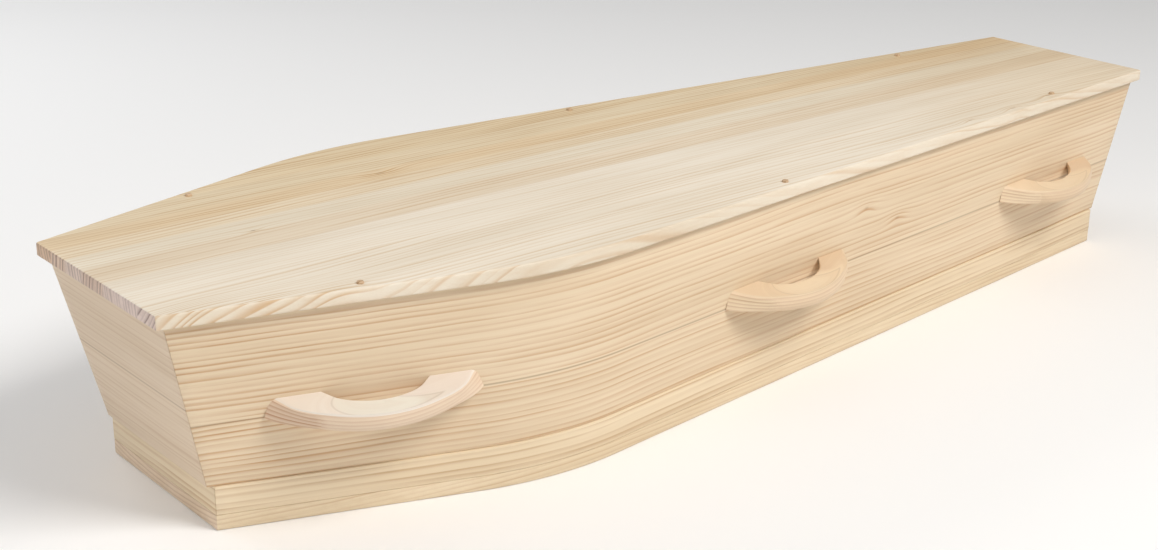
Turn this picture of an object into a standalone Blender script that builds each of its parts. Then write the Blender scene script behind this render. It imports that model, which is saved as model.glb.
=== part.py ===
"""A plain pine coffin with curved shoulders, a flat overhanging lid and six bow handles.

Metres, +Z up. The foot points to +X and the head to -X. The origin is under the middle of
the coffin, on the surface that it stands on. Right and left are those of a person lying in it,
so the right side faces -Y.
"""
import math

import bmesh
import bpy
from mathutils import Matrix, Vector

NAME = "pine_coffin"

# Gap that is left between two boards that touch, and what each board gives up at a mitre.
GAP = 0.0003
MITRE_TRIM = GAP * 0.7

# Lid: half widths at the ends and at the point where its straight edges would cross.
LID_LENGTH = 2.030
LID_THICKNESS = 0.020
LID_HEAD_HALF = 0.173
LID_FOOT_HALF = 0.1735
LID_SHOULDER_X = -0.487
LID_SHOULDER_HALF = 0.3227
LID_SHOULDER_RADIUS = 0.652
LID_CORNER_RADIUS = 0.003
LID_EDGE_ROUND = 0.003

# Height of the walls' upper edge, and how far the lid stands out past it.
RIM_Z = 0.308
SIDE_OVERHANG = 0.011
END_OVERHANG = 0.013

# Lower edge of the leaning walls, where they stand on the plinth rails.
BAND_Z = 0.063
FOOTING_HEAD_X = -0.9465
FOOTING_FOOT_X = 0.945
FOOTING_HEAD_HALF = 0.1424
FOOTING_FOOT_HALF = 0.1474
FOOTING_SHOULDER_X = -0.492
FOOTING_SHOULDER_HALF = 0.307
FOOTING_SHOULDER_RADIUS = 0.501

SIDE_WALL = 0.018
END_WALL = 0.0185

# Plinth rails: a little proud of the long walls and set back under the end walls.
RAIL_PROUD = 0.003
RAIL_SET_BACK = 0.008
RAIL_THICKNESS = 0.020
RAIL_EDGE_ROUND = 0.0008

BASE_THICKNESS = 0.022
BASE_EDGE_ROUND = 0.0015

# Bow handles: a crescent cut from thick board, tipped down at its outer edge.
HANDLE_X = (-0.7375, 0.001, 0.742)
HANDLE_Z = 0.171
HANDLE_HALF_LENGTH = 0.144
HANDLE_REACH = 0.067
HANDLE_THICKNESS = 0.0255
HANDLE_TIP = math.radians(14.0)
HANDLE_ROOT = 0.020
GRIP_HALF_LENGTH = 0.0775
GRIP_CLEARANCE = 0.030
HANDLE_ROUND = 0.006
HANDLE_STEPS = 20
GRIP_STEPS = 16

# How far the block that trims the handles' roots reaches in from the wall's outer face.
TRIM_REACH = 0.060

# Small round plugs let into the lid above the walls, beside each handle.
PLUG_X = (-0.756, -0.017, 0.734)
PLUG_HALF = (0.2285, 0.2575, 0.1805)
PLUG_RADIUS = 0.005
PLUG_RISE = 0.0035
PLUG_DEPTH = 0.010
PLUG_EDGE_ROUND = 0.0022

# Edges that turn by more than this are rounded on boards, and on handles.
BOARD_BEVEL_ANGLE = math.radians(50.0)
HANDLE_BEVEL_ANGLE = math.radians(40.0)

# How finely the long edges, the end walls and the height of the walls are divided.
HEAD_STEPS = 6
ARC_STEPS = 16
FOOT_STEPS = 10
END_STEPS = 4
WALL_ROWS = 3


def clear_scene():
    for old in list(bpy.data.objects):
        bpy.data.objects.remove(old, do_unlink=True)


def make_collection(name):
    group = bpy.data.collections.new(name)
    bpy.context.scene.collection.children.link(group)
    return group


def make_material(name, colour, roughness):
    material = bpy.data.materials.new(name)
    material.use_nodes = True
    shader = material.node_tree.nodes["Principled BSDF"]
    shader.inputs["Base Color"].default_value = (*colour, 1.0)
    shader.inputs["Roughness"].default_value = roughness
    shader.inputs["Metallic"].default_value = 0.0
    return material


def crossing(p, d, q, e):
    """Point where the line through p along d meets the line through q along e."""
    cross = d.x * e.y - d.y * e.x
    t = ((q.x - p.x) * e.y - (q.y - p.y) * e.x) / cross
    return p + d * t


def long_edge(head, foot, shoulder, radius, inset=0.0, end_inset=0.0, trim=0.0):
    """Points of the +Y long edge from the head corner to the foot corner.

    head, foot and shoulder are the corners of the straight edges, radius rounds the shoulder.
    inset moves the edge towards the middle, end_inset moves the two ends, and trim then takes
    that much off each end along the edge.
    """
    head = Vector(head)
    foot = Vector(foot)
    shoulder = Vector(shoulder)
    along_head = (shoulder - head).normalized()
    along_foot = (foot - shoulder).normalized()
    in_head = Vector((along_head.y, -along_head.x))
    in_foot = Vector((along_foot.y, -along_foot.x))
    corner = crossing(head + in_head * inset, along_head, foot + in_foot * inset, along_foot)
    across = Vector((0.0, 1.0))
    start = crossing(corner, along_head, Vector((head.x + end_inset, 0.0)), across)
    end = crossing(corner, along_foot, Vector((foot.x - end_inset, 0.0)), across)
    start += along_head * trim
    end -= along_foot * trim

    turn = math.acos(max(-1.0, min(1.0, along_head.dot(along_foot))))
    reach = (radius - inset) * math.tan(turn / 2.0)
    arc_start = corner - along_head * reach
    centre = arc_start + in_head * (radius - inset)
    spoke = arc_start - centre

    points = []
    for step in range(HEAD_STEPS):
        points.append(start.lerp(arc_start, step / HEAD_STEPS))
    for step in range(ARC_STEPS + 1):
        angle = -turn * step / ARC_STEPS
        points.append(centre + Matrix.Rotation(angle, 2) @ spoke)
    arc_end = points[-1]
    for step in range(1, FOOT_STEPS + 1):
        points.append(arc_end.lerp(end, step / FOOT_STEPS))
    return points


def lid_edge(inset=0.0, end_inset=0.0, trim=0.0):
    return long_edge((-LID_LENGTH / 2.0, LID_HEAD_HALF), (LID_LENGTH / 2.0, LID_FOOT_HALF),
                     (LID_SHOULDER_X, LID_SHOULDER_HALF), LID_SHOULDER_RADIUS,
                     inset, end_inset, trim)


def rim_edge(inset=0.0, end_inset=0.0, trim=0.0):
    return lid_edge(SIDE_OVERHANG + inset, END_OVERHANG + end_inset, trim)


def footing_edge(inset=0.0, end_inset=0.0, trim=0.0):
    return long_edge((FOOTING_HEAD_X, FOOTING_HEAD_HALF), (FOOTING_FOOT_X, FOOTING_FOOT_HALF),
                     (FOOTING_SHOULDER_X, FOOTING_SHOULDER_HALF), FOOTING_SHOULDER_RADIUS,
                     inset, end_inset, trim)


def round_corner(before, corner, after, radius, steps):
    """Arc that replaces a corner of an outline."""
    into = (corner - before).normalized()
    out = (after - corner).normalized()
    turn = math.acos(max(-1.0, min(1.0, into.dot(out))))
    side = 1.0 if into.x * out.y - into.y * out.x > 0.0 else -1.0
    reach = radius * math.tan(turn / 2.0)
    first = corner - into * reach
    centre = first + Vector((-into.y, into.x)) * side * radius
    spoke = first - centre
    arc = []
    for step in range(steps + 1):
        arc.append(centre + Matrix.Rotation(side * turn * step / steps, 2) @ spoke)
    return arc


def mirrored(points):
    return [Vector((p.x, -p.y)) for p in points]


def add_object(name, mesh, material, group, parent):
    piece = bpy.data.objects.new(name, mesh)
    group.objects.link(piece)
    piece.parent = parent
    if material is not None:
        mesh.materials.append(material)
    return piece


def flat_board(name, outline, bottom, top, material, group, parent):
    """Board of constant outline: a filled 2D curve, made a mesh with its caps joined on."""
    curve = bpy.data.curves.new(name, "CURVE")
    curve.dimensions = "2D"
    curve.fill_mode = "BOTH"
    curve.extrude = (top - bottom) / 2.0
    spline = curve.splines.new("POLY")
    spline.points.add(len(outline) - 1)
    for point, place in zip(spline.points, outline):
        point.co = (place.x, place.y, 0.0, 1.0)
    spline.use_cyclic_u = True
    guide = bpy.data.objects.new(name + "_outline", curve)
    group.objects.link(guide)
    bpy.context.view_layer.update()

    graph = bpy.context.evaluated_depsgraph_get()
    mesh = bpy.data.meshes.new_from_object(guide.evaluated_get(graph))
    mesh.name = name
    bpy.data.objects.remove(guide, do_unlink=True)

    work = bmesh.new()
    work.from_mesh(mesh)
    bmesh.ops.remove_doubles(work, verts=work.verts, dist=0.00001)
    bmesh.ops.dissolve_limit(work, angle_limit=math.radians(0.2), verts=work.verts,
                             edges=work.edges)
    bmesh.ops.recalc_face_normals(work, faces=work.faces)
    work.to_mesh(mesh)
    work.free()

    piece = add_object(name, mesh, material, group, parent)
    piece.location = (0.0, 0.0, (top + bottom) / 2.0)
    return piece


def leaning_board(name, low, high, bottom, top, side, material, group, parent):
    """Wall between two level outlines of equal point count, lofted with straight rulings.

    low and high each hold an outer and an inner list of points. side is 1 for the shapes as
    they are given and -1 for their mirror image.
    """
    work = bmesh.new()
    rings = []
    count = len(low[0])
    for row in range(WALL_ROWS + 1):
        part = row / WALL_ROWS
        height = bottom + (top - bottom) * part
        ring = []
        for skin in (0, 1):
            line = []
            for column in range(count):
                flat = low[skin][column].lerp(high[skin][column], part)
                line.append(work.verts.new((flat.x, side * flat.y, height)))
            ring.append(line)
        rings.append(ring)
    for row in range(WALL_ROWS):
        below = rings[row]
        above = rings[row + 1]
        for column in range(count - 1):
            for skin in (0, 1):
                work.faces.new((below[skin][column], below[skin][column + 1],
                                above[skin][column + 1], above[skin][column]))
        for column in (0, count - 1):
            work.faces.new((below[0][column], below[1][column],
                            above[1][column], above[0][column]))
    for ring in (rings[0], rings[-1]):
        for column in range(count - 1):
            work.faces.new((ring[0][column], ring[0][column + 1],
                            ring[1][column + 1], ring[1][column]))
    bmesh.ops.recalc_face_normals(work, faces=work.faces)
    mesh = bpy.data.meshes.new(name)
    work.to_mesh(mesh)
    work.free()
    mesh.shade_smooth()
    mesh.set_sharp_from_angle(angle=math.radians(30.0))
    return add_object(name, mesh, material, group, parent)


def round_edges(piece, width, segments, angle=BOARD_BEVEL_ANGLE):
    bevel = piece.modifiers.new("rounded_edges", "BEVEL")
    bevel.width = width
    bevel.segments = segments
    bevel.limit_method = "ANGLE"
    bevel.angle_limit = angle


def cut(piece, cutter, name):
    boolean = piece.modifiers.new(name, "BOOLEAN")
    boolean.operation = "DIFFERENCE"
    boolean.solver = "EXACT"
    boolean.object = cutter


def as_cutter(piece):
    piece.hide_render = True
    piece.display_type = "WIRE"


def side_walls(material, group, parent):
    low = (footing_edge(trim=MITRE_TRIM), footing_edge(SIDE_WALL, END_WALL, MITRE_TRIM))
    high = (rim_edge(trim=MITRE_TRIM), rim_edge(SIDE_WALL, END_WALL, MITRE_TRIM))
    for side, word in ((-1, "right"), (1, "left")):
        leaning_board("side_panel_" + word, low, high, BAND_Z + GAP, RIM_Z, side,
                      material, group, parent)


def end_walls(material, group, parent):
    """Head and foot boards, mitred to the long walls."""
    for end, word in ((0, "head"), (-1, "foot")):
        skins = []
        for edge in (footing_edge, rim_edge):
            pair = []
            for corner in (edge()[end], edge(SIDE_WALL, END_WALL)[end]):
                half = corner.y - MITRE_TRIM
                parts = [1.0 - 2.0 * step / END_STEPS for step in range(END_STEPS + 1)]
                pair.append([Vector((corner.x, half * part)) for part in parts])
            skins.append(pair)
        leaning_board(word + "_panel", skins[0], skins[1], BAND_Z + GAP, RIM_Z, 1,
                      material, group, parent)


def rails(material, group, parent):
    bottom = BASE_THICKNESS + GAP
    outer = footing_edge(-RAIL_PROUD, RAIL_SET_BACK, MITRE_TRIM)
    inner = footing_edge(RAIL_THICKNESS - RAIL_PROUD, RAIL_SET_BACK + RAIL_THICKNESS, MITRE_TRIM)
    left = outer + inner[::-1]
    for outline, word in ((mirrored(left), "right"), (left, "left")):
        rail = flat_board("plinth_rail_" + word, outline, bottom, BAND_Z, material, group, parent)
        round_edges(rail, RAIL_EDGE_ROUND, 1)
    corners = footing_edge(-RAIL_PROUD, RAIL_SET_BACK)
    inside = footing_edge(RAIL_THICKNESS - RAIL_PROUD, RAIL_SET_BACK + RAIL_THICKNESS)
    for end, word in ((0, "head"), (-1, "foot")):
        out_corner = corners[end] - Vector((0.0, MITRE_TRIM))
        in_corner = inside[end] - Vector((0.0, MITRE_TRIM))
        outline = [out_corner, in_corner] + mirrored([in_corner, out_corner])
        rail = flat_board("plinth_rail_" + word, outline, bottom, BAND_Z, material, group, parent)
        round_edges(rail, RAIL_EDGE_ROUND, 1)


def base_board(material, group, parent):
    edge = footing_edge(-RAIL_PROUD, RAIL_SET_BACK)
    outline = edge + mirrored(edge)[::-1]
    base = flat_board("base_board", outline, 0.0, BASE_THICKNESS, material, group, parent)
    round_edges(base, BASE_EDGE_ROUND, 1)


def lid_board(material, group, cutters, parent):
    edge = lid_edge()
    other = mirrored(edge)[::-1]
    outline = round_corner(other[-1], edge[0], edge[1], LID_CORNER_RADIUS, 4)
    outline += edge[1:-1]
    outline += round_corner(edge[-2], edge[-1], other[0], LID_CORNER_RADIUS, 4)
    outline += round_corner(edge[-1], other[0], other[1], LID_CORNER_RADIUS, 4)
    outline += other[1:-1]
    outline += round_corner(other[-2], other[-1], edge[0], LID_CORNER_RADIUS, 4)
    bottom = RIM_Z + GAP
    lid = flat_board("lid", outline, bottom, bottom + LID_THICKNESS, material, group, parent)
    round_edges(lid, LID_EDGE_ROUND, 3)
    top = bottom + LID_THICKNESS
    for number, (x, y) in enumerate(plug_places()):
        bpy.ops.mesh.primitive_cylinder_add(vertices=16, radius=PLUG_RADIUS + GAP,
                                            depth=2.0 * PLUG_DEPTH, location=(x, y, top))
        drill = bpy.context.active_object
        drill.name = "plug_drill_%d" % number
        move_to(drill, cutters)
        as_cutter(drill)
        cut(lid, drill, "plug_hole_%d" % number)
    return top


def move_to(piece, group):
    for old in list(piece.users_collection):
        old.objects.unlink(piece)
    group.objects.link(piece)


def plug_places():
    places = []
    for side in (-1.0, 1.0):
        for x, half in zip(PLUG_X, PLUG_HALF):
            places.append((x, side * half))
    return places


def lid_plugs(top, material, group, parent):
    """Short round plugs whose domed ends stand a little above the lid."""
    words = [side + "_" + end for side in ("right", "left") for end in ("head", "middle", "foot")]
    low = top - PLUG_DEPTH + GAP
    high = top + PLUG_RISE
    for word, (x, y) in zip(words, plug_places()):
        bpy.ops.mesh.primitive_cylinder_add(vertices=16, radius=PLUG_RADIUS,
                                            depth=high - low, location=(x, y, (low + high) / 2.0))
        plug = bpy.context.active_object
        plug.name = "lid_plug_" + word
        plug.data.materials.append(material)
        move_to(plug, group)
        plug.parent = parent
        plug.data.shade_smooth()
        round_edges(plug, PLUG_EDGE_ROUND, 3)


def bow(half, depth, steps):
    """Points of a flat arc over a chord of 2 * half, from +half to -half."""
    radius = (half * half + depth * depth) / (2.0 * depth)
    angle = math.asin(half / radius)
    points = []
    for step in range(steps + 1):
        turn = angle * (1.0 - 2.0 * step / steps)
        points.append(Vector((radius * math.sin(turn), radius * math.cos(turn) - radius + depth)))
    return points


def wall_cutter(side, cutters, parent):
    """Block from just outside the long wall to well inside it, to trim the handles' roots."""
    low = (footing_edge(-GAP), footing_edge(TRIM_REACH))
    high = (rim_edge(-GAP), rim_edge(TRIM_REACH))
    word = "right" if side < 0 else "left"
    block = leaning_board("wall_cutter_" + word, low, high, BAND_Z, RIM_Z, side,
                          None, cutters, parent)
    as_cutter(block)
    return block


def handle_frame(station, side):
    """Place on the outer face of the wall at the handle's height, and the wall's direction."""
    part = (HANDLE_Z - BAND_Z) / (RIM_Z - BAND_Z)
    line = [a.lerp(b, part) for a, b in zip(footing_edge(), rim_edge())]
    if station < LID_SHOULDER_X:
        first, second = line[0], line[HEAD_STEPS]
    else:
        first, second = line[HEAD_STEPS + ARC_STEPS], line[-1]
    along = (second - first).normalized()
    place = first + along * ((station - first.x) / along.x)
    return Vector((place.x, side * place.y)), math.atan2(side * along.y, along.x)


def handles(material, group, cutters, parent):
    outline = [Vector((HANDLE_HALF_LENGTH, -HANDLE_ROOT))]
    outline += bow(HANDLE_HALF_LENGTH, HANDLE_REACH, HANDLE_STEPS)
    outline += [Vector((-HANDLE_HALF_LENGTH, -HANDLE_ROOT))]
    outline += [Vector((-GRIP_HALF_LENGTH, -HANDLE_ROOT))]
    outline += bow(GRIP_HALF_LENGTH, GRIP_CLEARANCE, GRIP_STEPS)[::-1]
    outline += [Vector((GRIP_HALF_LENGTH, -HANDLE_ROOT))]
    for side, side_word in ((-1, "right"), (1, "left")):
        block = wall_cutter(side, cutters, parent)
        for station, end_word in zip(HANDLE_X, ("head", "middle", "foot")):
            place, heading = handle_frame(station, side)
            name = "handle_%s_%s" % (side_word, end_word)
            handle = flat_board(name, outline, -HANDLE_THICKNESS / 2.0, HANDLE_THICKNESS / 2.0,
                                material, group, parent)
            turn = Matrix.Rotation(heading, 4, "Z")
            if side < 0:
                turn = turn @ Matrix.Rotation(math.pi, 4, "Z")
            tip = Matrix.Rotation(-HANDLE_TIP, 4, "X")
            handle.matrix_world = Matrix.Translation((place.x, place.y, HANDLE_Z)) @ turn @ tip
            round_edges(handle, HANDLE_ROUND, 3, HANDLE_BEVEL_ANGLE)
            cut(handle, block, "fit_to_wall")


def build():
    clear_scene()
    group = make_collection(NAME)
    cutters = make_collection(NAME + "_cutters")
    coffin = bpy.data.objects.new(NAME, None)
    group.objects.link(coffin)

    lid_pine = make_material("pine_lid", (0.79, 0.69, 0.53), 0.55)
    side_pine = make_material("pine_side", (0.81, 0.66, 0.45), 0.55)
    end_pine = make_material("pine_end", (0.74, 0.60, 0.44), 0.58)
    rail_pine = make_material("pine_rail", (0.80, 0.67, 0.47), 0.56)
    base_pine = make_material("pine_base", (0.78, 0.65, 0.46), 0.60)
    handle_pine = make_material("pine_handle", (0.80, 0.64, 0.45), 0.50)
    plug_pine = make_material("pine_plug", (0.72, 0.54, 0.36), 0.50)

    base_board(base_pine, group, coffin)
    rails(rail_pine, group, coffin)
    side_walls(side_pine, group, coffin)
    end_walls(end_pine, group, coffin)
    top = lid_board(lid_pine, group, cutters, coffin)
    lid_plugs(top, plug_pine, group, coffin)
    handles(handle_pine, group, cutters, coffin)


build()
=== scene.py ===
"""Looks for the pine coffin: finely shaped boards and handles, pine materials, studio and camera.

Metres, +Z up. The foot points to +X, the right side faces -Y, and the origin is under the middle.
Every wooden piece carries a "wood" attribute: how far along the grain, across the board and into
its thickness each point lies, in metres. The pine materials read their figure from it.
"""
import math

import bmesh
import bpy
import numpy as np
from mathutils import Matrix, Vector


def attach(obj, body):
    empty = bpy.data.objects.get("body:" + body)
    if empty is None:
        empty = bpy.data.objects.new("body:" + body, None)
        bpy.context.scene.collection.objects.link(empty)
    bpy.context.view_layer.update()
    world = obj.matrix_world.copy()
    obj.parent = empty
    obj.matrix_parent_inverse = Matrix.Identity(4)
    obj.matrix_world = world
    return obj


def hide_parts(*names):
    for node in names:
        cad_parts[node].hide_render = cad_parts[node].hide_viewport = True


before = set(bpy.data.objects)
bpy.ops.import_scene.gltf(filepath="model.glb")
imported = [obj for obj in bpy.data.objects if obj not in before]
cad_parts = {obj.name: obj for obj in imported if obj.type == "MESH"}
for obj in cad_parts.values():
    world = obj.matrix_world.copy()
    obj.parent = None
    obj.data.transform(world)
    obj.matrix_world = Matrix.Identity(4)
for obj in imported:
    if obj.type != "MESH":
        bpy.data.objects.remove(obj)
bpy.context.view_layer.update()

# Gap between boards that touch, and how much a mitred end is cut short to leave it.
GAP = 0.0003
MITRE_TRIM = GAP * 0.7

# Lid.
LID_LENGTH = 2.030
LID_THICKNESS = 0.020
LID_HEAD_HALF = 0.173
LID_FOOT_HALF = 0.1735
LID_SHOULDER_X = -0.487
LID_SHOULDER_HALF = 0.3227
LID_SHOULDER_RADIUS = 0.652
LID_CORNER_RADIUS = 0.003
LID_EDGE_ROUND = 0.003

# Walls.
RIM_Z = 0.308
SIDE_OVERHANG = 0.011
END_OVERHANG = 0.013
BAND_Z = 0.063
FOOTING_HEAD_X = -0.9465
FOOTING_FOOT_X = 0.945
FOOTING_HEAD_HALF = 0.1424
FOOTING_FOOT_HALF = 0.1474
FOOTING_SHOULDER_X = -0.492
FOOTING_SHOULDER_HALF = 0.307
FOOTING_SHOULDER_RADIUS = 0.501
SIDE_WALL = 0.018
END_WALL = 0.0185
WALL_EDGE_ROUND = 0.0006

# Plinth.
RAIL_PROUD = 0.003
RAIL_SET_BACK = 0.008
RAIL_THICKNESS = 0.020
RAIL_EDGE_ROUND = 0.0007
BASE_THICKNESS = 0.022
BASE_EDGE_ROUND = 0.0015

# Handles.
HANDLE_X = (-0.7375, 0.001, 0.742)
HANDLE_Z = 0.171
HANDLE_HALF_LENGTH = 0.144
HANDLE_REACH = 0.067
HANDLE_THICKNESS = 0.0255
HANDLE_TIP = math.radians(14.0)
GRIP_HALF_LENGTH = 0.0775
GRIP_CLEARANCE = 0.030

# Roundings of a handle: the radius of every edge at the tips, and of the nose, the inner and the
# lower edges of the grip. The facet lies along the upper outer edge of the grip.
TIP_ROUND = 0.0012
NOSE_ROUND = 0.0085
GRIP_INNER_ROUND = 0.003
GRIP_UNDER_ROUND = 0.0075
FACET_WIDTH = 0.007
FACET_DROP = 0.0130
FACET_BULGE = 0.0012
FACET_BULGE_AIM = (0.88, 0.47)

# Where along half a handle the roundings run out, the nose grows round and the tips slant: the
# start and the length of each change, as parts of the half. TIP_SLANT is metres out for each
# metre down, and TIP_SPREAD how much longer a handle is at its underside, as a part.
GRIP_RUN_OUT = (0.45, 0.45)
NOSE_RUN_IN = (0.66, 0.34)
SLANT_RUN_IN = (0.6, 0.4)
TIP_SLANT = 0.33
TIP_SPREAD = 0.036

# The pale figure on top of each grip. Its outline lies at FIGURE_EDGE of the grip's width, leans
# by FIGURE_LEAN towards the tip on one side, is cut off by a slanting line there, and narrows by
# FIGURE_NARROWING on the other side.
FIGURE_EDGE = 0.87
FIGURE_SCALE = 0.04
FIGURE_LEAN = 0.27
FIGURE_CUT_START = 0.22
FIGURE_CUT_SLOPE = 1.77
FIGURE_CUT_WEIGHT = 0.8
FIGURE_NARROWING = 3.0
FIGURE_NARROWING_START = 0.20
FIGURE_LIMIT = 1.6
FIGURE_DOWN_STEP = 1.40
FIGURE_DOWN = (0.03, 0.12)

# Growth rings of the handles: how far the heart line lies below them, the width of a ring, how
# far the rings drift along a handle, and how far apart the handles lie in the wood.
HANDLE_HEART = 0.248
HANDLE_RING = 0.0050
HANDLE_RING_DRIFT = 0.002
HANDLE_WOOD_STEP = 0.7
HANDLE_WOOD_SIDE_STEP = 0.35

# Lid plugs.
PLUG_X = (-0.756, -0.017, 0.734)
PLUG_HALF = (0.2285, 0.2575, 0.1805)
PLUG_RADIUS = 0.005
PLUG_RISE = 0.0035
PLUG_DEPTH = 0.010
PLUG_EDGE_ROUND = 0.0022

# How finely the outlines and the sections are divided.
HEAD_STEPS = 24
ARC_STEPS = 48
FOOT_STEPS = 60
END_STEPS = 20
WALL_ROWS = 8
CORNER_STEPS = 5
BOARD_ROUND_STEPS = 2
LID_ROUND_STEPS = 4
PLUG_ROUND_STEPS = 5
HANDLE_STATIONS = 96
SECTION_STEPS = 8
TOP_STEPS = 12
PLUG_STEPS = 32

# Edges that turn by more than these angles, in degrees, are rounded or shaded as sharp.
BOARD_BEVEL_ANGLE = 40.0
PLUG_BEVEL_ANGLE = 60.0
BOARD_SHARP_ANGLE = 30.0
HANDLE_SHARP_ANGLE = 22.0
PLUG_SHARP_ANGLE = 50.0

# A face belongs to the end or the long edge of a board where its normal points along X or Y by
# at least these parts.
END_FACE_LEAST = 0.75
LONG_FACE_LEAST = 0.5

# The camera's own axes in the world, its place and its lens, fitted to the photograph.
CAMERA_PLACE = (-1.9222, -2.0741, 1.1491)
CAMERA_RIGHT = (0.775089, -0.631799, 0.008217)
CAMERA_UP = (0.215308, 0.276320, 0.936638)
CAMERA_BACK = (-0.594037, -0.724208, 0.350204)
CAMERA_LENS = 56.5
SENSOR_WIDTH = 36.0
CAMERA_SHIFT = (0.0068, 0.0018)

ENDS = ("head", "middle", "foot")


# Outlines


def crossing(p, d, q, e):
    """Point where the line through p along d meets the line through q along e."""
    cross = d.x * e.y - d.y * e.x
    t = ((q.x - p.x) * e.y - (q.y - p.y) * e.x) / cross
    return p + d * t


def long_edge(head, foot, shoulder, radius, inset=0.0, end_inset=0.0, trim=0.0):
    """Points of the +Y long edge from the head corner to the foot corner."""
    head = Vector(head)
    foot = Vector(foot)
    shoulder = Vector(shoulder)
    along_head = (shoulder - head).normalized()
    along_foot = (foot - shoulder).normalized()
    in_head = Vector((along_head.y, -along_head.x))
    in_foot = Vector((along_foot.y, -along_foot.x))
    corner = crossing(head + in_head * inset, along_head, foot + in_foot * inset, along_foot)
    across = Vector((0.0, 1.0))
    start = crossing(corner, along_head, Vector((head.x + end_inset, 0.0)), across)
    end = crossing(corner, along_foot, Vector((foot.x - end_inset, 0.0)), across)
    start += along_head * trim
    end -= along_foot * trim

    turn = math.acos(max(-1.0, min(1.0, along_head.dot(along_foot))))
    reach = (radius - inset) * math.tan(turn / 2.0)
    arc_start = corner - along_head * reach
    centre = arc_start + in_head * (radius - inset)
    spoke = arc_start - centre

    points = []
    for step in range(HEAD_STEPS):
        points.append(start.lerp(arc_start, step / HEAD_STEPS))
    for step in range(ARC_STEPS + 1):
        angle = -turn * step / ARC_STEPS
        points.append(centre + Matrix.Rotation(angle, 2) @ spoke)
    arc_end = points[-1]
    for step in range(1, FOOT_STEPS + 1):
        points.append(arc_end.lerp(end, step / FOOT_STEPS))
    return points


def lid_edge(inset=0.0, end_inset=0.0, trim=0.0):
    return long_edge((-LID_LENGTH / 2.0, LID_HEAD_HALF), (LID_LENGTH / 2.0, LID_FOOT_HALF),
                     (LID_SHOULDER_X, LID_SHOULDER_HALF), LID_SHOULDER_RADIUS,
                     inset, end_inset, trim)


def rim_edge(inset=0.0, end_inset=0.0, trim=0.0):
    return lid_edge(SIDE_OVERHANG + inset, END_OVERHANG + end_inset, trim)


def footing_edge(inset=0.0, end_inset=0.0, trim=0.0):
    return long_edge((FOOTING_HEAD_X, FOOTING_HEAD_HALF), (FOOTING_FOOT_X, FOOTING_FOOT_HALF),
                     (FOOTING_SHOULDER_X, FOOTING_SHOULDER_HALF), FOOTING_SHOULDER_RADIUS,
                     inset, end_inset, trim)


def mirrored(points):
    return [Vector((p.x, -p.y)) for p in points]


def round_corner(before, corner, after, radius, steps):
    """Arc that replaces a corner of an outline."""
    into = (corner - before).normalized()
    out = (after - corner).normalized()
    turn = math.acos(max(-1.0, min(1.0, into.dot(out))))
    side = 1.0 if into.x * out.y - into.y * out.x > 0.0 else -1.0
    first = corner - into * radius * math.tan(turn / 2.0)
    centre = first + Vector((-into.y, into.x)) * side * radius
    spoke = first - centre
    arc = []
    for step in range(steps + 1):
        arc.append(centre + Matrix.Rotation(side * turn * step / steps, 2) @ spoke)
    return arc


# Wood coordinates


MIDDLE_LINE = [a.lerp(b, 0.5) for a, b in zip(footing_edge(), rim_edge())]
MIDDLE_X = np.array([p.x for p in MIDDLE_LINE])
MIDDLE_RUN = np.concatenate([[0.0], np.cumsum([(b - a).length for a, b in
                                               zip(MIDDLE_LINE, MIDDLE_LINE[1:])])])
FOOTING_LINE = np.array([tuple(p) for p in footing_edge()])
RIM_LINE = np.array([tuple(p) for p in rim_edge()])


def wall_coordinates(points):
    """Run along the long wall, height up it, and depth behind its outer face."""
    x, y, z = points.T
    part = (z - BAND_Z) / (RIM_Z - BAND_Z)
    low = np.interp(x, FOOTING_LINE[:, 0], FOOTING_LINE[:, 1])
    high = np.interp(x, RIM_LINE[:, 0], RIM_LINE[:, 1])
    face = low + (high - low) * np.clip(part, 0.0, 1.0)
    return np.stack([np.interp(x, MIDDLE_X, MIDDLE_RUN), z, face - np.abs(y)], axis=1)


def end_wall_coordinates(points):
    x, y, z = points.T
    part = np.clip((z - BAND_Z) / (RIM_Z - BAND_Z), 0.0, 1.0)
    face = FOOTING_FOOT_X + (LID_LENGTH / 2.0 - END_OVERHANG - FOOTING_FOOT_X) * part
    return np.stack([y, z, face - np.abs(x)], axis=1)


def board_coordinates(points):
    x, y, z = points.T
    return np.stack([x, y, z.max() - z], axis=1)


def side_band_coordinates(points):
    coordinates = wall_coordinates(points)
    coordinates[:, 2] = np.abs(coordinates[:, 2])
    return coordinates


# Meshes


def finish_piece(name, mesh, materials, node, coordinates, sharp=BOARD_SHARP_ANGLE):
    """Turn a mesh into a piece that stands for a CAD node, with its wood coordinates."""
    piece = bpy.data.objects.new(name, mesh)
    bpy.context.scene.collection.objects.link(piece)
    for material in materials:
        mesh.materials.append(material)
    points = np.empty(len(mesh.vertices) * 3)
    mesh.vertices.foreach_get("co", points)
    points = points.reshape(-1, 3)
    wood = mesh.attributes.new("wood", "FLOAT_VECTOR", "POINT")
    wood.data.foreach_set("vector", coordinates(points).astype(np.float32).ravel())
    mesh.shade_smooth()
    mesh.set_sharp_from_angle(angle=math.radians(sharp))
    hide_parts(node)
    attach(piece, "root")
    return piece


def bevelled(work, width, segments, angle):
    """Round the edges of a bmesh that turn by more than angle degrees."""
    sharp = [edge for edge in work.edges
             if len(edge.link_faces) == 2 and edge.calc_face_angle() > math.radians(angle)]
    bmesh.ops.bevel(work, geom=sharp, offset=width, offset_type="OFFSET", segments=segments,
                    profile=0.5, affect="EDGES", clamp_overlap=True)


def mesh_from(work, name):
    mesh = bpy.data.meshes.new(name)
    work.to_mesh(mesh)
    work.free()
    return mesh


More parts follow.
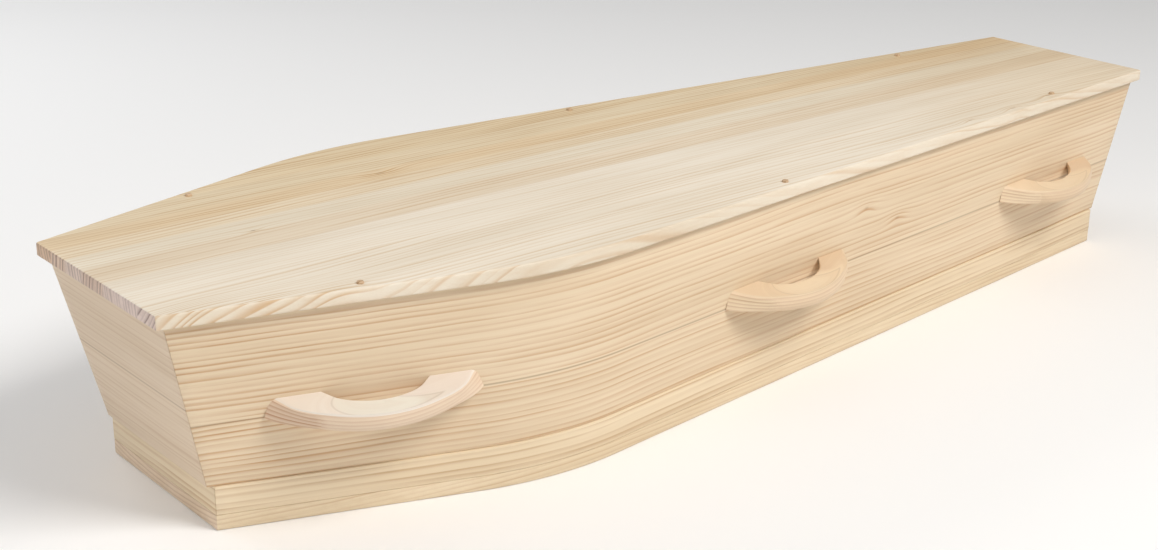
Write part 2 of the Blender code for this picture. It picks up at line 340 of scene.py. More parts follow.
def edge_faces(mesh, axis, slot_index, least):
    """Give the faces that look along an axis, by at least a part, their own material slot."""
    for face in mesh.polygons:
        if abs(face.normal[axis]) > least:
            face.material_index = slot_index


def prism(name, outline, bottom, top, width, segments):
    """Board of constant outline with small eased edges."""
    work = bmesh.new()
    low = [work.verts.new((p.x, p.y, bottom)) for p in outline]
    high = [work.verts.new((p.x, p.y, top)) for p in outline]
    count = len(outline)
    for index in range(count):
        following = (index + 1) % count
        work.faces.new((low[index], low[following], high[following], high[index]))
    work.faces.new(high)
    work.faces.new(low[::-1])
    bmesh.ops.recalc_face_normals(work, faces=work.faces)
    bevelled(work, width, segments, BOARD_BEVEL_ANGLE)
    return mesh_from(work, name)


def leaning_board(name, low, high, bottom, top, side):
    """Wall lofted between two level outlines, each with an outer and an inner line."""
    work = bmesh.new()
    count = len(low[0])
    rings = []
    for row in range(WALL_ROWS + 1):
        part = row / WALL_ROWS
        height = bottom + (top - bottom) * part
        ring = []
        for skin in (0, 1):
            flats = [a.lerp(b, part) for a, b in zip(low[skin], high[skin])]
            ring.append([work.verts.new((p.x, side * p.y, height)) for p in flats])
        rings.append(ring)
    for below, above in zip(rings, rings[1:]):
        for column in range(count - 1):
            for skin in (0, 1):
                work.faces.new((below[skin][column], below[skin][column + 1],
                                above[skin][column + 1], above[skin][column]))
        for column in (0, count - 1):
            work.faces.new((below[0][column], below[1][column],
                            above[1][column], above[0][column]))
    for ring in (rings[0], rings[-1]):
        for column in range(count - 1):
            work.faces.new((ring[0][column], ring[0][column + 1],
                            ring[1][column + 1], ring[1][column]))
    bmesh.ops.recalc_face_normals(work, faces=work.faces)
    bevelled(work, WALL_EDGE_ROUND, BOARD_ROUND_STEPS, BOARD_BEVEL_ANGLE)
    return mesh_from(work, name)


# Pieces


def make_side_walls(material):
    trim = MITRE_TRIM
    low = (footing_edge(0.0, 0.0, trim), footing_edge(SIDE_WALL, END_WALL, trim))
    high = (rim_edge(0.0, 0.0, trim), rim_edge(SIDE_WALL, END_WALL, trim))
    for side, word in ((-1, "right"), (1, "left")):
        name = "side_panel_" + word
        mesh = leaning_board(name + "_wood", low, high, BAND_Z + GAP, RIM_Z, side)
        finish_piece(name + "_wood", mesh, (material,), name, wall_coordinates)


def make_end_walls(material):
    for end, word in ((0, "head"), (-1, "foot")):
        skins = []
        for edge in (footing_edge, rim_edge):
            pair = []
            for corner in (edge()[end], edge(SIDE_WALL, END_WALL)[end]):
                half = corner.y - MITRE_TRIM
                pair.append([Vector((corner.x, half * (1.0 - 2.0 * step / END_STEPS)))
                             for step in range(END_STEPS + 1)])
            skins.append(pair)
        name = word + "_panel"
        mesh = leaning_board(name + "_wood", skins[0], skins[1], BAND_Z + GAP, RIM_Z, 1)
        finish_piece(name + "_wood", mesh, (material,), name, end_wall_coordinates)


def make_rails(material):
    bottom = BASE_THICKNESS + GAP
    trim = MITRE_TRIM
    outer = footing_edge(-RAIL_PROUD, RAIL_SET_BACK, trim)
    inner = footing_edge(RAIL_THICKNESS - RAIL_PROUD, RAIL_SET_BACK + RAIL_THICKNESS, trim)
    left = outer + inner[::-1]
    for outline, word in ((mirrored(left), "right"), (left, "left")):
        name = "plinth_rail_" + word
        mesh = prism(name + "_wood", outline, bottom, BAND_Z, RAIL_EDGE_ROUND,
                     BOARD_ROUND_STEPS)
        finish_piece(name + "_wood", mesh, (material,), name,
                     side_band_coordinates)
    corners = footing_edge(-RAIL_PROUD, RAIL_SET_BACK)
    inside = footing_edge(RAIL_THICKNESS - RAIL_PROUD, RAIL_SET_BACK + RAIL_THICKNESS)
    for end, word in ((0, "head"), (-1, "foot")):
        out_corner = corners[end] - Vector((0.0, trim))
        in_corner = inside[end] - Vector((0.0, trim))
        outline = [out_corner, in_corner] + mirrored([in_corner, out_corner])
        name = "plinth_rail_" + word
        mesh = prism(name + "_wood", outline, bottom, BAND_Z, RAIL_EDGE_ROUND,
                     BOARD_ROUND_STEPS)
        finish_piece(name + "_wood", mesh, (material,), name,
                     end_wall_coordinates)


def make_base(face, end_grain):
    edge = footing_edge(-RAIL_PROUD, RAIL_SET_BACK)
    outline = edge + mirrored(edge)[::-1]
    mesh = prism("base_board_wood", outline, 0.0, BASE_THICKNESS, BASE_EDGE_ROUND,
                 BOARD_ROUND_STEPS)
    edge_faces(mesh, 0, 1, END_FACE_LEAST)
    finish_piece("base_board_wood", mesh, (face, end_grain), "base_board",
                 board_coordinates)


def make_lid(face, end_grain, long_grain):
    """Lid with rounded corners, and the height of its top."""
    edge = lid_edge()
    other = mirrored(edge)[::-1]
    corners = ((other[-1], edge[0], edge[1]), (edge[-2], edge[-1], other[0]),
               (edge[-1], other[0], other[1]), (other[-2], other[-1], edge[0]))
    arcs = [round_corner(*corner, LID_CORNER_RADIUS, CORNER_STEPS) for corner in corners]
    outline = arcs[0] + edge[1:-1] + arcs[1] + arcs[2] + other[1:-1] + arcs[3]
    bottom = RIM_Z + GAP
    mesh = prism("lid_wood", outline, bottom, bottom + LID_THICKNESS, LID_EDGE_ROUND,
                 LID_ROUND_STEPS)
    edge_faces(mesh, 0, 1, END_FACE_LEAST)
    edge_faces(mesh, 1, 2, LONG_FACE_LEAST)
    finish_piece("lid_wood", mesh, (face, end_grain, long_grain), "lid",
                 board_coordinates)
    return bottom + LID_THICKNESS


def make_plugs(top, material):
    """Short turned plugs with rounded ends, standing a little above the lid."""
    for side, side_word in ((-1.0, "right"), (1.0, "left")):
        for x, half, end_word in zip(PLUG_X, PLUG_HALF, ENDS):
            name = "lid_plug_%s_%s" % (side_word, end_word)
            work = bmesh.new()
            bmesh.ops.create_cone(work, cap_ends=True, segments=PLUG_STEPS,
                                  radius1=PLUG_RADIUS, radius2=PLUG_RADIUS,
                                  depth=PLUG_RISE + PLUG_DEPTH - GAP)
            middle = top + (PLUG_RISE - PLUG_DEPTH + GAP) / 2.0
            bmesh.ops.translate(work, verts=work.verts, vec=(x, side * half, middle))
            bevelled(work, PLUG_EDGE_ROUND, PLUG_ROUND_STEPS, PLUG_BEVEL_ANGLE)
            mesh = mesh_from(work, name + "_wood")
            finish_piece(name + "_wood", mesh, (material,), name,
                         board_coordinates, PLUG_SHARP_ANGLE)


# Handles


def arc_point(half, depth, part):
    """Point at -1 to 1 along a flat arc over a chord of 2 * half."""
    radius = (half * half + depth * depth) / (2.0 * depth)
    angle = math.asin(half / radius) * part
    return Vector((radius * math.sin(angle), radius * math.cos(angle) - radius + depth))


def smooth(value, start, length):
    """0 up to start, 1 from start + length on, and a smooth step between them."""
    part = max(0.0, min(1.0, (value - start) / length))
    return part * part * (3.0 - 2.0 * part)


def rounded_section(width, facet_width, facet_drop, inner, under, nose):
    """Section of a handle: pairs of distance from the inner edge and height, both in metres.

    The upper outer edge has a nearly flat facet, facet_width wide and facet_drop tall, or a
    round of radius nose where the facet has run out. inner and under are radii.
    """
    half = HANDLE_THICKNESS / 2.0
    points = []
    for step in range(SECTION_STEPS + 1):
        part = step / SECTION_STEPS
        bulge = FACET_BULGE * min(1.0, facet_width / FACET_WIDTH) * 4.0 * part * (1.0 - part)
        flat = (width - facet_width * part + bulge * FACET_BULGE_AIM[0],
                half - facet_drop * (1.0 - part) + bulge * FACET_BULGE_AIM[1])
        angle = math.radians(90.0 * part)
        arc = (width - nose + nose * math.cos(angle), half - nose + nose * math.sin(angle))
        held = min(1.0, facet_width / nose) if nose > facet_width else 1.0
        points.append((flat[0] * held + arc[0] * (1.0 - held),
                       flat[1] * held + arc[1] * (1.0 - held)))
    last = width - facet_width * held - nose * (1.0 - held)
    for step in range(1, TOP_STEPS):
        points.append((last + (inner - last) * step / TOP_STEPS, half))
    for x, y, radius, start in ((0.0, half, inner, 90.0), (0.0, -half, inner, 180.0),
                                (width, -half, under, 270.0)):
        centre_x = x - radius if x > 0.0 else radius
        centre_y = y - radius if y > 0.0 else y + radius
        for step in range(SECTION_STEPS + 1):
            angle = math.radians(start + 90.0 * step / SECTION_STEPS)
            points.append((centre_x + radius * math.cos(angle),
                           centre_y + radius * math.sin(angle)))
    return points


def figure_place(part, across, height):
    """Across coordinate of a handle: below 0 inside the pale figure, above it elsewhere."""
    field = across + FIGURE_NARROWING * max(0.0, part - FIGURE_NARROWING_START) ** 2
    if part < 0.0:
        field = across - FIGURE_LEAN * part
        cut = FIGURE_CUT_SLOPE * (-part - FIGURE_CUT_START) - across
        field = max(field, FIGURE_EDGE + FIGURE_CUT_WEIGHT * cut)
    down = (HANDLE_THICKNESS / 2.0 - height) / HANDLE_THICKNESS
    off_top = FIGURE_DOWN_STEP * smooth(down, *FIGURE_DOWN)
    return FIGURE_SCALE * (min(field, FIGURE_LIMIT) - FIGURE_EDGE + off_top)


def handle_mesh(name):
    """Bow handle in its own frame: X along the wall, Y outwards, Z through its thickness.

    Also gives the wood coordinates of its points.
    """
    work = bmesh.new()
    rings = []
    wood = []
    for station in range(HANDLE_STATIONS + 1):
        part = -1.0 + 2.0 * station / HANDLE_STATIONS
        outer = arc_point(HANDLE_HALF_LENGTH, HANDLE_REACH, part)
        inner = arc_point(GRIP_HALF_LENGTH, GRIP_CLEARANCE, part)
        width = (outer - inner).length
        across = (outer - inner) / width
        held = 1.0 - smooth(abs(part), *GRIP_RUN_OUT)
        sizes = [TIP_ROUND + (size - TIP_ROUND) * held for size in
                 (FACET_WIDTH, FACET_DROP, GRIP_INNER_ROUND, GRIP_UNDER_ROUND)]
        nose = TIP_ROUND + (NOSE_ROUND - TIP_ROUND) * smooth(abs(part), *NOSE_RUN_IN)
        shape = rounded_section(width, *sizes, nose)
        slide = TIP_SLANT * smooth(abs(part), *SLANT_RUN_IN)
        ring = []
        for distance, height in shape:
            flat = inner + across * distance
            spread = 1.0 - TIP_SPREAD * slide / TIP_SLANT * height / (HANDLE_THICKNESS / 2.0)
            place = (flat.x * spread, flat.y - height * slide + GAP, height)
            ring.append(work.verts.new(place))
            beside = figure_place(part, distance / width, height)
            reach = HANDLE_HEART + height + HANDLE_RING_DRIFT * part
            below = math.sqrt(reach * reach - beside * beside) - HANDLE_HEART
            wood.append((flat.x, beside, below))
        rings.append(ring)
    count = len(rings[0])
    for first, second in zip(rings, rings[1:]):
        for index in range(count):
            following = (index + 1) % count
            work.faces.new((first[index], second[index], second[following], first[following]))
    work.faces.new(rings[0])
    work.faces.new(rings[-1][::-1])
    bmesh.ops.recalc_face_normals(work, faces=work.faces)
    return mesh_from(work, name), np.array(wood)


def handle_frame(station, side):
    """Place on the outer face of the wall at the handle's height, and the wall's direction."""
    part = (HANDLE_Z - BAND_Z) / (RIM_Z - BAND_Z)
    line = [a.lerp(b, part) for a, b in zip(footing_edge(), rim_edge())]
    if station < LID_SHOULDER_X:
        first, second = line[0], line[HEAD_STEPS]
    else:
        first, second = line[HEAD_STEPS + ARC_STEPS], line[-1]
    along = (second - first).normalized()
    place = first + along * ((station - first.x) / along.x)
    return Vector((place.x, side * place.y)), math.atan2(side * along.y, along.x)


def make_handles(pale, tan):
    for side, side_word in ((-1, "right"), (1, "left")):
        for number, (station, end_word) in enumerate(zip(HANDLE_X, ENDS)):
            name = "handle_%s_%s" % (side_word, end_word)
            mesh, wood = handle_mesh(name + "_wood")
            place, heading = handle_frame(station, side)
            turn = Matrix.Rotation(heading, 4, "Z")
            if side < 0:
                turn = turn @ Matrix.Rotation(math.pi, 4, "Z")
            else:
                wood[:, 0] = -wood[:, 0]
            wood[:, 0] += HANDLE_WOOD_STEP * number
            wood[:, 0] += HANDLE_WOOD_SIDE_STEP if side > 0 else 0.0
            tip = Matrix.Rotation(-HANDLE_TIP, 4, "X")
            mesh.transform(Matrix.Translation((place.x, place.y, HANDLE_Z)) @ turn @ tip)
            material = pale if end_word == "head" else tan
            finish_piece(name + "_wood", mesh, (material,), name,
                         lambda _: wood, HANDLE_SHARP_ANGLE)


# Materials


# How the figure of the wood is made. Scales are those of the noise along the grain, across the
# board and into its thickness, in steps a metre.
SLOW_SCALES = (1.3, 3.5, 3.5)
SLOW_SHARE = 4.0
QUICK_SCALES = (7.0, 26.0, 26.0)
QUICK_WANDER = 0.0030
YEAR_SCALES = (38.0, 9.0, 0.0)
CHANGE_SCALES = (3.0, 0.85, 0.0)
CHANGE_RANGE = (0.34, 0.64)
FIBRE_SCALES = (9.0, 1000.0, 1000.0)
FIBRE_SHADE = 0.10
STREAK_SCALES = (2.6, 120.0, 120.0)
STREAK_RANGE = (0.40, 0.72)
STREAK_LATE_SHARE = 0.45
CLOUD_SCALES = (2.0, 14.0, 14.0)
CLOUD_SHADE = 0.28
SHADE_COLOUR = (0.80, 1.0, 1.35)
STAVE_SHIFT = 7.0

# Number of a stave's own: that of the first one, and how much each next one adds.
STAVE_OWN = (0.37, 0.618)

# How far inside a stave's edges its own tint starts, in metres.
STAVE_BLEND = 0.004

# Darkness across one growth ring, from its start to its end.
RING_PROFILE = ((0.0, 0.30), (0.05, 0.04), (0.16, 0.0), (0.42, 0.14), (0.66, 0.52),
                (0.84, 1.0), (0.94, 0.96), (1.0, 0.30))

# A knot: how much a distance along the grain counts against one across it, how fast its pull on
# the rings falls off, how far it pushes them out and how much it strengthens them, and between
# which parts of its size its dark spot fades.
KNOT_SQUEEZE = 0.42
KNOT_FALL = 0.42
KNOT_SWELL = 1.5
KNOT_STRENGTH = 1.5
KNOT_SPOT = (0.15, 0.6)
KNOT_COLOUR = (0.25, 0.12, 0.05)

# Glue lines: half the width of the dark core and of the whole line, and the colour.
GLUE_LINE = (0.0004, 0.0020)
GLUE_COLOUR = (0.22, 0.12, 0.05)

# Surface of the planed pine.
GLOSS = 0.4
RING_ROUGHNESS = (0.05, -0.08)
BUMP_SHARES = (0.6, 0.4)
BUMP_STRENGTH = 0.4
BUMP_DEPTH = 0.0003


class Graph:
    """Short names for the shader nodes of one material."""

    def __init__(self, name):
        self.material = bpy.data.materials.new(name)
        self.material.use_nodes = True
        self.tree = self.material.node_tree
        self.shader = self.tree.nodes["Principled BSDF"]

    def plug(self, socket, value):
        if isinstance(value, bpy.types.NodeSocket):
            self.tree.links.new(value, socket)
        else:
            socket.default_value = value

    def math(self, operation, first, second=0.0, third=0.0, clamp=False):
        node = self.tree.nodes.new("ShaderNodeMath")
        node.operation = operation
        node.use_clamp = clamp
        for socket, value in zip(node.inputs, (first, second, third)):
            self.plug(socket, value)
        return node.outputs[0]

    def add(self, first, second):
        return self.math("ADD", first, second)

    def times(self, first, second):
        return self.math("MULTIPLY", first, second)

    def distance(self, first, second):
        squares = self.add(self.times(first, first), self.times(second, second))
        return self.math("SQRT", squares)

    def remap(self, value, low, high, to_low=0.0, to_high=1.0, kind="SMOOTHSTEP"):
        node = self.tree.nodes.new("ShaderNodeMapRange")
        node.interpolation_type = kind
        for socket, number in zip(node.inputs, (value, low, high, to_low, to_high)):
            self.plug(socket, number)
        return node.outputs[0]

    def vector(self, x, y, z):
        node = self.tree.nodes.new("ShaderNodeCombineXYZ")
        for socket, value in zip(node.inputs, (x, y, z)):
            self.plug(socket, value)
        return node.outputs[0]

    def wood(self):
        node = self.tree.nodes.new("ShaderNodeAttribute")
        node.attribute_name = "wood"
        parts = self.tree.nodes.new("ShaderNodeSeparateXYZ")
        self.tree.links.new(node.outputs["Vector"], parts.inputs[0])
        return parts.outputs[0], parts.outputs[1], parts.outputs[2]

    def noise(self, place, scales, detail, roughness):
        """Noise at a place of three coordinates, each of them multiplied by its own scale."""
        node = self.tree.nodes.new("ShaderNodeTexNoise")
        spread = [self.times(value, scale) if scale else 0.0
                  for value, scale in zip(place, scales)]
        self.plug(node.inputs["Vector"], self.vector(*spread))
        node.inputs["Scale"].default_value = 1.0
        node.inputs["Detail"].default_value = detail
        node.inputs["Roughness"].default_value = roughness
        return node.outputs[0]

    def ramp(self, value, stops, kind="LINEAR"):
        node = self.tree.nodes.new("ShaderNodeValToRGB")
        node.color_ramp.interpolation = kind
        elements = node.color_ramp.elements
        while len(elements) < len(stops):
            elements.new(0.5)
        for element, (place, colour) in zip(elements, stops):
            element.position = place
            element.color = colour if len(colour) == 4 else solid(colour)
        self.plug(node.inputs[0], value)
        return node.outputs[0], node.outputs[1]

    def mix(self, part, first, second, kind="MIX"):
        node = self.tree.nodes.new("ShaderNodeMix")
        node.data_type = "RGBA"
        node.blend_type = kind
        self.plug(node.inputs[0], part)
        self.plug(node.inputs[6], first)
        self.plug(node.inputs[7], second)
        return node.outputs[2]

    def bump(self, height, strength, distance):
        node = self.tree.nodes.new("ShaderNodeBump")
        node.inputs["Strength"].default_value = strength
        node.inputs["Distance"].default_value = distance
        self.plug(node.inputs["Height"], height)
        self.tree.links.new(node.outputs[0], self.shader.inputs["Normal"])


def solid(colour):
    return (*colour, 1.0)


def run_at(x):
    """Distance along the long wall's middle line at a given X."""
    return float(np.interp(x, MIDDLE_X, MIDDLE_RUN))


def stave(low, high, heart_across, heart_depth, tint=1.0, strength=1.0, glued=True):
    """One strip of a board: its range across it, heart line, tint and ring strength.

    glued says that a glue line parts it from the strip before it.
    """
    return {"low": low, "high": high, "heart": (heart_across, heart_depth), "tint": tint,
            "strength": strength, "glued": glued}


def stave_heart(g, across, staves):
    """Heart line's place across and below the board, and a number of each stave's own.

    All three travel in one colour ramp, so the place across is stored as a number from 0 to 1.
    """
    low = staves[0]["low"]
    span = staves[-1]["high"] - low
    stops = []
    for number, strip in enumerate(staves):
        heart_across, heart_depth = strip["heart"]
        own = (STAVE_OWN[0] + STAVE_OWN[1] * number) % 1.0
        place = (strip["low"] - low) / span
        stops.append((place, ((heart_across + 1.0) / 2.0, heart_depth, own)))
    place = g.remap(across, low, low + span, 0.0, 1.0, "LINEAR")
    colour = g.ramp(place, stops, "CONSTANT")[0]
    parts = g.tree.nodes.new("ShaderNodeSeparateColor")
    g.tree.links.new(colour, parts.inputs[0])
    heart = g.math("MULTIPLY_ADD", parts.outputs[0], 2.0, -1.0)
    return heart, parts.outputs[1], parts.outputs[2]


def stave_look(g, across, staves):
    """Tint and ring strength of the staves, blended over a few millimetres."""
    low = staves[0]["low"]
    span = staves[-1]["high"] - low
    stops = []
    for strip in staves:
        tint = (strip["tint"],) * 3 if isinstance(strip["tint"], float) else strip["tint"]
        look = (*tint, strip["strength"])
        stops.append(((strip["low"] - low + STAVE_BLEND) / span, look))
        stops.append(((strip["high"] - low - STAVE_BLEND) / span, look))
    place = g.remap(across, low, low + span, 0.0, 1.0, "LINEAR")
    return g.ramp(place, stops)


def stave_seams(g, across, staves):
    """1 along the glue lines between staves, fading to 0 within a millimetre or so."""
    total = None
    for strip in staves[1:]:
        if not strip["glued"]:
            continue
        apart = g.math("ABSOLUTE", g.add(across, -strip["low"]))
        line = g.remap(apart, *GLUE_LINE, 1.0, 0.0)
        total = line if total is None else g.math("MAXIMUM", total, line)
    return total


def knot_fields(g, along, across, knots):
    """How far the knots push the rings out, how near they are, and their dark spots."""
    push = swirl = spots = None
    for knot_along, knot_across, size, dark in knots:
        apart = g.distance(g.times(g.add(along, -knot_along), KNOT_SQUEEZE),
                           g.add(across, -knot_across))
        near = g.times(apart, KNOT_FALL / size)
        swell = g.math("EXPONENT", g.times(g.times(near, near), -1.0))
        pushed = g.times(swell, size * KNOT_SWELL)
        spot = g.remap(apart, size * KNOT_SPOT[0], size * KNOT_SPOT[1], dark, 0.0)
        push = pushed if push is None else g.add(push, pushed)
        swirl = swell if swirl is None else g.math("MAXIMUM", swirl, swell)
        spots = spot if spots is None else g.math("MAXIMUM", spots, spot)
    return push, swirl, spots


def pine(name, early, late, staves, ring=0.0095, sway=0.007, contrast=1.0, streaks=0.30,
         knots=(), seam=0.0, roughness=0.52, taper=0.0, uneven=2.2, faint=0.15, fade=None,
         painted_falloff=None):
    """Pine with growth rings round a heart line below each stave.

    early and late are the colours of the pale and the dark part of a ring, ring its width, sway
    how far the rings wander, contrast how dark they are, streaks how strong the fine streaks
    along the grain are, taper how fast the rings run out along the board, uneven how much their
    widths differ, faint how strong the palest rings are, and seam how dark the glue lines are.
    A knot is its place along and across, its size and its darkness. fade gives two places along
    the board and how strong the rings are before and after them, and painted_falloff gives two
    places and the tint that the board takes on between them: painted shade that darkens and
    yellows the board from the first place on, standing in for light that falls off and loses its
    sheen along the board.
    """
    g = Graph(name)
    along, across, depth = g.wood()
    heart_across, heart_depth, own = stave_heart(g, across, staves)
    tint, stave_strength = stave_look(g, across, staves)
    shifted = g.add(along, g.times(own, STAVE_SHIFT))
    place = (shifted, across, depth)

    slow = g.noise(place, SLOW_SCALES, 1.0, 0.5)
    quick = g.noise(place, QUICK_SCALES, 2.0, 0.5)
    wander = g.add(g.times(g.add(slow, -0.5), sway * SLOW_SHARE),
                   g.times(g.add(quick, -0.5), QUICK_WANDER))
    reach = g.distance(g.math("SUBTRACT", across, heart_across), g.add(depth, heart_depth))
    radius = g.add(reach, g.add(wander, g.times(shifted, taper)))
    push, swirl, spots = knot_fields(g, along, across, knots)
    if knots:
        radius = g.add(radius, push)

    years = g.noise((radius, own, 0.0), YEAR_SCALES, 2.0, 0.6)
    count = g.add(g.times(radius, 1.0 / ring), g.times(years, uneven))
    profile = [(part, (dark,) * 3) for part, dark in RING_PROFILE]
    line = g.ramp(g.math("FRACT", count), profile)[0]
    changing = g.noise((shifted, count, 0.0), CHANGE_SCALES, 3.0, 0.6)
    strength = g.remap(changing, *CHANGE_RANGE, faint, 1.0)
    if knots:
        strength = g.math("MAXIMUM", strength, g.times(swirl, KNOT_STRENGTH))
    if fade is not None:
        strength = g.times(strength, g.remap(along, *fade))
    figure = g.times(g.times(line, strength), g.times(stave_strength, contrast))

    fibre = g.noise(place, FIBRE_SCALES, 2.0, 0.6)
    streak = g.noise(place, STREAK_SCALES, 3.0, 0.6)
    cloud = g.noise(place, CLOUD_SCALES, 2.0, 0.5)

    middle = tuple(a + (b - a) * STREAK_LATE_SHARE for a, b in zip(early, late))
    base = g.mix(figure, solid(early), solid(late))
    base = g.mix(g.remap(streak, *STREAK_RANGE, 0.0, streaks), base, solid(middle))
    shade = g.add(g.times(g.add(cloud, -0.5), CLOUD_SHADE),
                  g.times(g.add(fibre, -0.5), FIBRE_SHADE))
    level = g.vector(*[g.add(1.0, g.times(shade, share)) for share in SHADE_COLOUR])
    base = g.mix(1.0, base, level, "MULTIPLY")
    base = g.mix(1.0, base, tint, "MULTIPLY")
    # Painted shade: from the first of two places along the board the colour is multiplied, more
    # and more, by a darker, yellower tint, standing in for light that falls off and loses its
    # sheen.
    if painted_falloff is not None:
        first, last, colour = painted_falloff
        base = g.mix(g.remap(along, first, last), base,
                     g.mix(1.0, base, solid(colour), "MULTIPLY"))
    if seam:
        base = g.mix(g.times(stave_seams(g, across, staves), seam), base, solid(GLUE_COLOUR))
    if knots:
        base = g.mix(spots, base, solid(KNOT_COLOUR))
    g.plug(g.shader.inputs["Base Color"], base)
    rough = g.remap(figure, 0.0, 1.0, roughness + RING_ROUGHNESS[0],
                    roughness + RING_ROUGHNESS[1], "LINEAR")
    g.plug(g.shader.inputs["Roughness"], rough)
    g.shader.inputs["Specular IOR Level"].default_value = GLOSS
    height = g.add(g.times(figure, BUMP_SHARES[0]), g.times(fibre, BUMP_SHARES[1]))
    g.bump(height, BUMP_STRENGTH, BUMP_DEPTH)
    return g.material


def lid_materials():
    """Pine of the lid's face, its ends and its long edges."""
    staves = (
        stave(-0.34, -0.125, -0.02, 0.110, 1.0, 0.9),
        stave(-0.125, -0.030, -0.45, 0.060, 1.0, 0.6),
        stave(-0.030, 0.030, 0.22, 0.050, (0.95, 0.90, 0.83), 1.0),
        stave(0.030, 0.082, -0.20, 0.035, (0.98, 0.97, 0.93), 0.8),
        stave(0.082, 0.125, 0.30, 0.030, (0.96, 0.89, 0.77), 1.3),
        stave(0.125, 0.170, 0.02, 0.030, (0.95, 0.84, 0.67), 1.5),
        stave(0.170, 0.228, 0.12, 0.020, (0.965, 0.90, 0.76), 1.3),
        stave(0.228, 0.34, 0.35, 0.040, (0.94, 0.85, 0.68), 1.5))
    knots = ((-0.760, 0.035, 0.004, 0.6), (-0.474, 0.151, 0.009, 0.25),
             (0.48, -0.205, 0.005, 0.3), (0.60, -0.200, 0.006, 0.25),
             (0.72, -0.183, 0.006, 0.35), (-0.965, -0.185, 0.013, 0.0),
             (-0.885, -0.207, 0.012, 0.0), (-0.80, -0.230, 0.012, 0.0))
    # The lid's face is darkened and yellowed from 0.25 m along towards the foot: painted shade
    # for the light that falls off and the sheen that fades there.
    face = pine("pine_lid_look", (0.835, 0.755, 0.63), (0.59, 0.39, 0.19), staves, ring=0.0085,
                sway=0.005, contrast=0.62, taper=0.012, knots=knots,
                painted_falloff=(0.25, 0.95, (0.95, 0.90, 0.82)))
    end = pine("pine_lid_end_look", (0.74, 0.60, 0.53), (0.20, 0.11, 0.09), staves, ring=0.0085,
               sway=0.005, taper=0.012, contrast=0.9)
    long_grain = pine("pine_lid_side_look", (0.81, 0.72, 0.585), (0.60, 0.36, 0.16), staves,
                      ring=0.0075, contrast=0.60, taper=0.02, uneven=3.5, faint=0.1,
                      knots=knots)
    return face, end, long_grain


def wall_materials():
    """Pine of the long walls, the end walls and the plinth rails."""
    side_staves = (stave(0.0, 0.158, -0.30, 0.06, 1.0, 0.85),
                   stave(0.158, 0.33, 0.62, 0.06, 1.0, 0.80))
    side = pine("pine_side_look", (0.80, 0.655, 0.468), (0.52, 0.265, 0.105), side_staves,
                ring=0.0088, sway=0.006, contrast=0.72, seam=0.42, uneven=1.7,
                fade=(run_at(-0.88), run_at(-0.64), 1.5, 1.0),
                knots=((run_at(0.19), 0.240, 0.006, 0.2), (run_at(0.28), 0.203, 0.006, 0.2)))
    end_staves = (stave(0.0, 0.184, -0.25, 0.06), stave(0.184, 0.33, 0.50, 0.06, 0.97))
    end = pine("pine_end_look", (0.75, 0.61, 0.46), (0.54, 0.36, 0.22), end_staves, ring=0.0085,
               sway=0.006, contrast=0.55, seam=0.35)
    rail = pine("pine_rail_look", (0.81, 0.67, 0.475), (0.51, 0.31, 0.15),
                (stave(0.0, 0.33, -0.1238, 0.04),), ring=0.0085, sway=0.004, contrast=0.75)
    return side, end, rail


def base_materials():
    """Pine of the base board's face and of its ends."""
    staves = (stave(-0.35, 0.35, 0.0, 1.0),)
    face = pine("pine_base_look", (0.79, 0.655, 0.465), (0.56, 0.36, 0.19), staves, ring=0.0070,
                sway=0.001, contrast=0.6, uneven=1.0)
    end = pine("pine_base_end_look", (0.78, 0.62, 0.46), (0.56, 0.39, 0.26), staves,
               ring=0.0070, sway=0.001, uneven=1.0)
    return face, end


def handle_materials():
    """Pine of the pale handles at the head and of the darker ones."""
    bands = ((-0.08, 0.0, True), (0.0, 0.035, True), (0.035, 0.0745, False),
             (0.0745, 0.12, False))
    pale_looks = (((0.98, 0.98, 0.97), 0.3), ((0.985, 0.955, 0.95), 0.4),
                  ((0.93, 0.78, 0.65), 0.45), ((0.83, 0.665, 0.535), 1.15))
    tan_looks = (((0.98, 0.97, 0.97), 0.3), ((0.97, 0.95, 0.94), 0.5),
                 ((0.97, 0.93, 0.92), 0.5), ((1.0, 1.0, 1.0), 1.0))
    pale_staves, tan_staves = (
        [stave(low, high, 0.0, HANDLE_HEART, tint, strength, glued)
         for (low, high, glued), (tint, strength) in zip(bands, looks)]
        for looks in (pale_looks, tan_looks))
    pale = pine("pine_handle_look", (0.84, 0.80, 0.72), (0.52, 0.30, 0.19), pale_staves,
                ring=HANDLE_RING, sway=0.0006, contrast=0.72, seam=0.16, roughness=0.42,
                uneven=0.0, streaks=0.15, faint=0.6)
    tan = pine("pine_handle_tan_look", (0.82, 0.67, 0.475), (0.50, 0.28, 0.16), tan_staves,
               ring=HANDLE_RING, sway=0.0010, contrast=0.70, seam=0.14, roughness=0.42,
               uneven=0.3, streaks=0.25, faint=0.4)
    return pale, tan


def plug_material():
    return pine("pine_plug_look", (0.62, 0.44, 0.28), (0.40, 0.24, 0.12),
                (stave(-0.35, 0.35, 0.0, 0.06),), ring=0.004)


def floor_material():
    g = Graph("studio_floor")
    g.shader.inputs["Base Color"].default_value = solid(FLOOR_COLOUR)
    g.shader.inputs["Roughness"].default_value = FLOOR_ROUGHNESS
    return g.material


# Studio


FLOOR_SIZE = 60.0
FLOOR_DROP = 0.0005
FLOOR_COLOUR = (0.95, 0.95, 0.95)
FLOOR_ROUGHNESS = 0.85

# Grey level of the surroundings at the horizon and near the zenith.
SURROUNDINGS = ((0.0, 0.25), (0.9, 0.42))

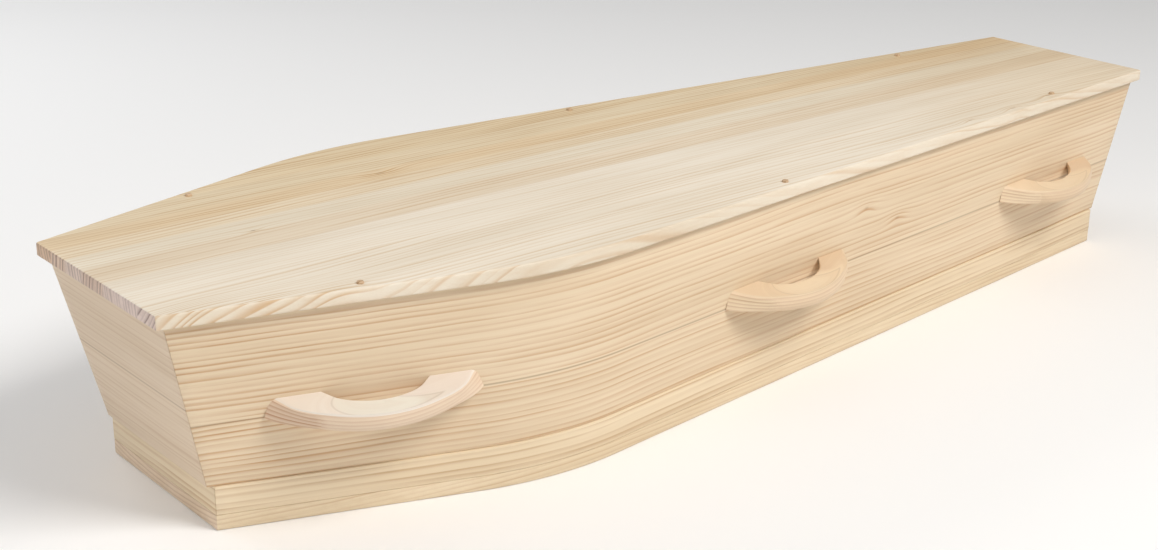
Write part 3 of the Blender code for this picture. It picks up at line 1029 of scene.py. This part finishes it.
# Name, place, target, size, power, colour and spread in degrees of each light.
LIGHTS = (
    ("key", (1.2, -3.5, 4.3), (-0.9, -0.2, 0.2), (2.6, 2.2), 138.0, (1.0, 0.97, 0.93), 145.0),
    ("fill", (-4.4, -0.9, 1.7), (-0.9, 0.0, 0.12), (2.6, 2.2), 31.5, (1.0, 0.99, 0.97), 180.0),
    ("back", (-1.4, 3.4, 2.2), (-0.4, 0.0, 0.3), (3.0, 1.6), 42.0, (0.97, 0.98, 1.0), 180.0))


def make_floor():
    bpy.ops.mesh.primitive_plane_add(size=FLOOR_SIZE, location=(0.0, 0.0, -FLOOR_DROP))
    floor = bpy.context.active_object
    floor.name = "studio_floor"
    floor.data.materials.append(floor_material())


def area_light(name, place, target, size, power, colour, spread):
    light = bpy.data.lights.new(name, "AREA")
    light.shape = "RECTANGLE"
    light.size, light.size_y = size
    light.energy = power
    light.spread = math.radians(spread)
    light.color = colour
    lamp = bpy.data.objects.new(name, light)
    bpy.context.scene.collection.objects.link(lamp)
    lamp.location = place
    aim = Vector(target) - Vector(place)
    lamp.rotation_euler = aim.to_track_quat("-Z", "Y").to_euler()


def make_lights():
    world = bpy.data.worlds.new("studio")
    bpy.context.scene.world = world
    world.use_nodes = True
    tree = world.node_tree
    background = tree.nodes["Background"]
    background.inputs["Strength"].default_value = 1.0
    place = tree.nodes.new("ShaderNodeTexCoord")
    parts = tree.nodes.new("ShaderNodeSeparateXYZ")
    tree.links.new(place.outputs["Generated"], parts.inputs[0])
    ramp = tree.nodes.new("ShaderNodeValToRGB")
    for element, (height, level) in zip(ramp.color_ramp.elements, SURROUNDINGS):
        element.position = height
        element.color = solid((level, level, level))
    tree.links.new(parts.outputs[2], ramp.inputs[0])
    tree.links.new(ramp.outputs[0], background.inputs["Color"])
    for light in LIGHTS:
        area_light(*light)


def make_camera():
    lens = bpy.data.cameras.new("camera")
    camera = bpy.data.objects.new("camera", lens)
    bpy.context.scene.collection.objects.link(camera)
    pose = Matrix((CAMERA_RIGHT, CAMERA_UP, CAMERA_BACK)).transposed().to_4x4()
    pose.translation = Vector(CAMERA_PLACE)
    camera.matrix_world = pose
    lens.sensor_width = SENSOR_WIDTH
    lens.sensor_fit = "HORIZONTAL"
    lens.lens = CAMERA_LENS
    lens.shift_x, lens.shift_y = CAMERA_SHIFT
    bpy.context.scene.camera = camera


def build():
    side, end, rail = wall_materials()
    make_base(*base_materials())
    make_rails(rail)
    make_side_walls(side)
    make_end_walls(end)
    top = make_lid(*lid_materials())
    make_plugs(top, plug_material())
    make_handles(*handle_materials())
    make_floor()
    make_lights()
    make_camera()
    bpy.context.scene.view_settings.view_transform = "Standard"


build()
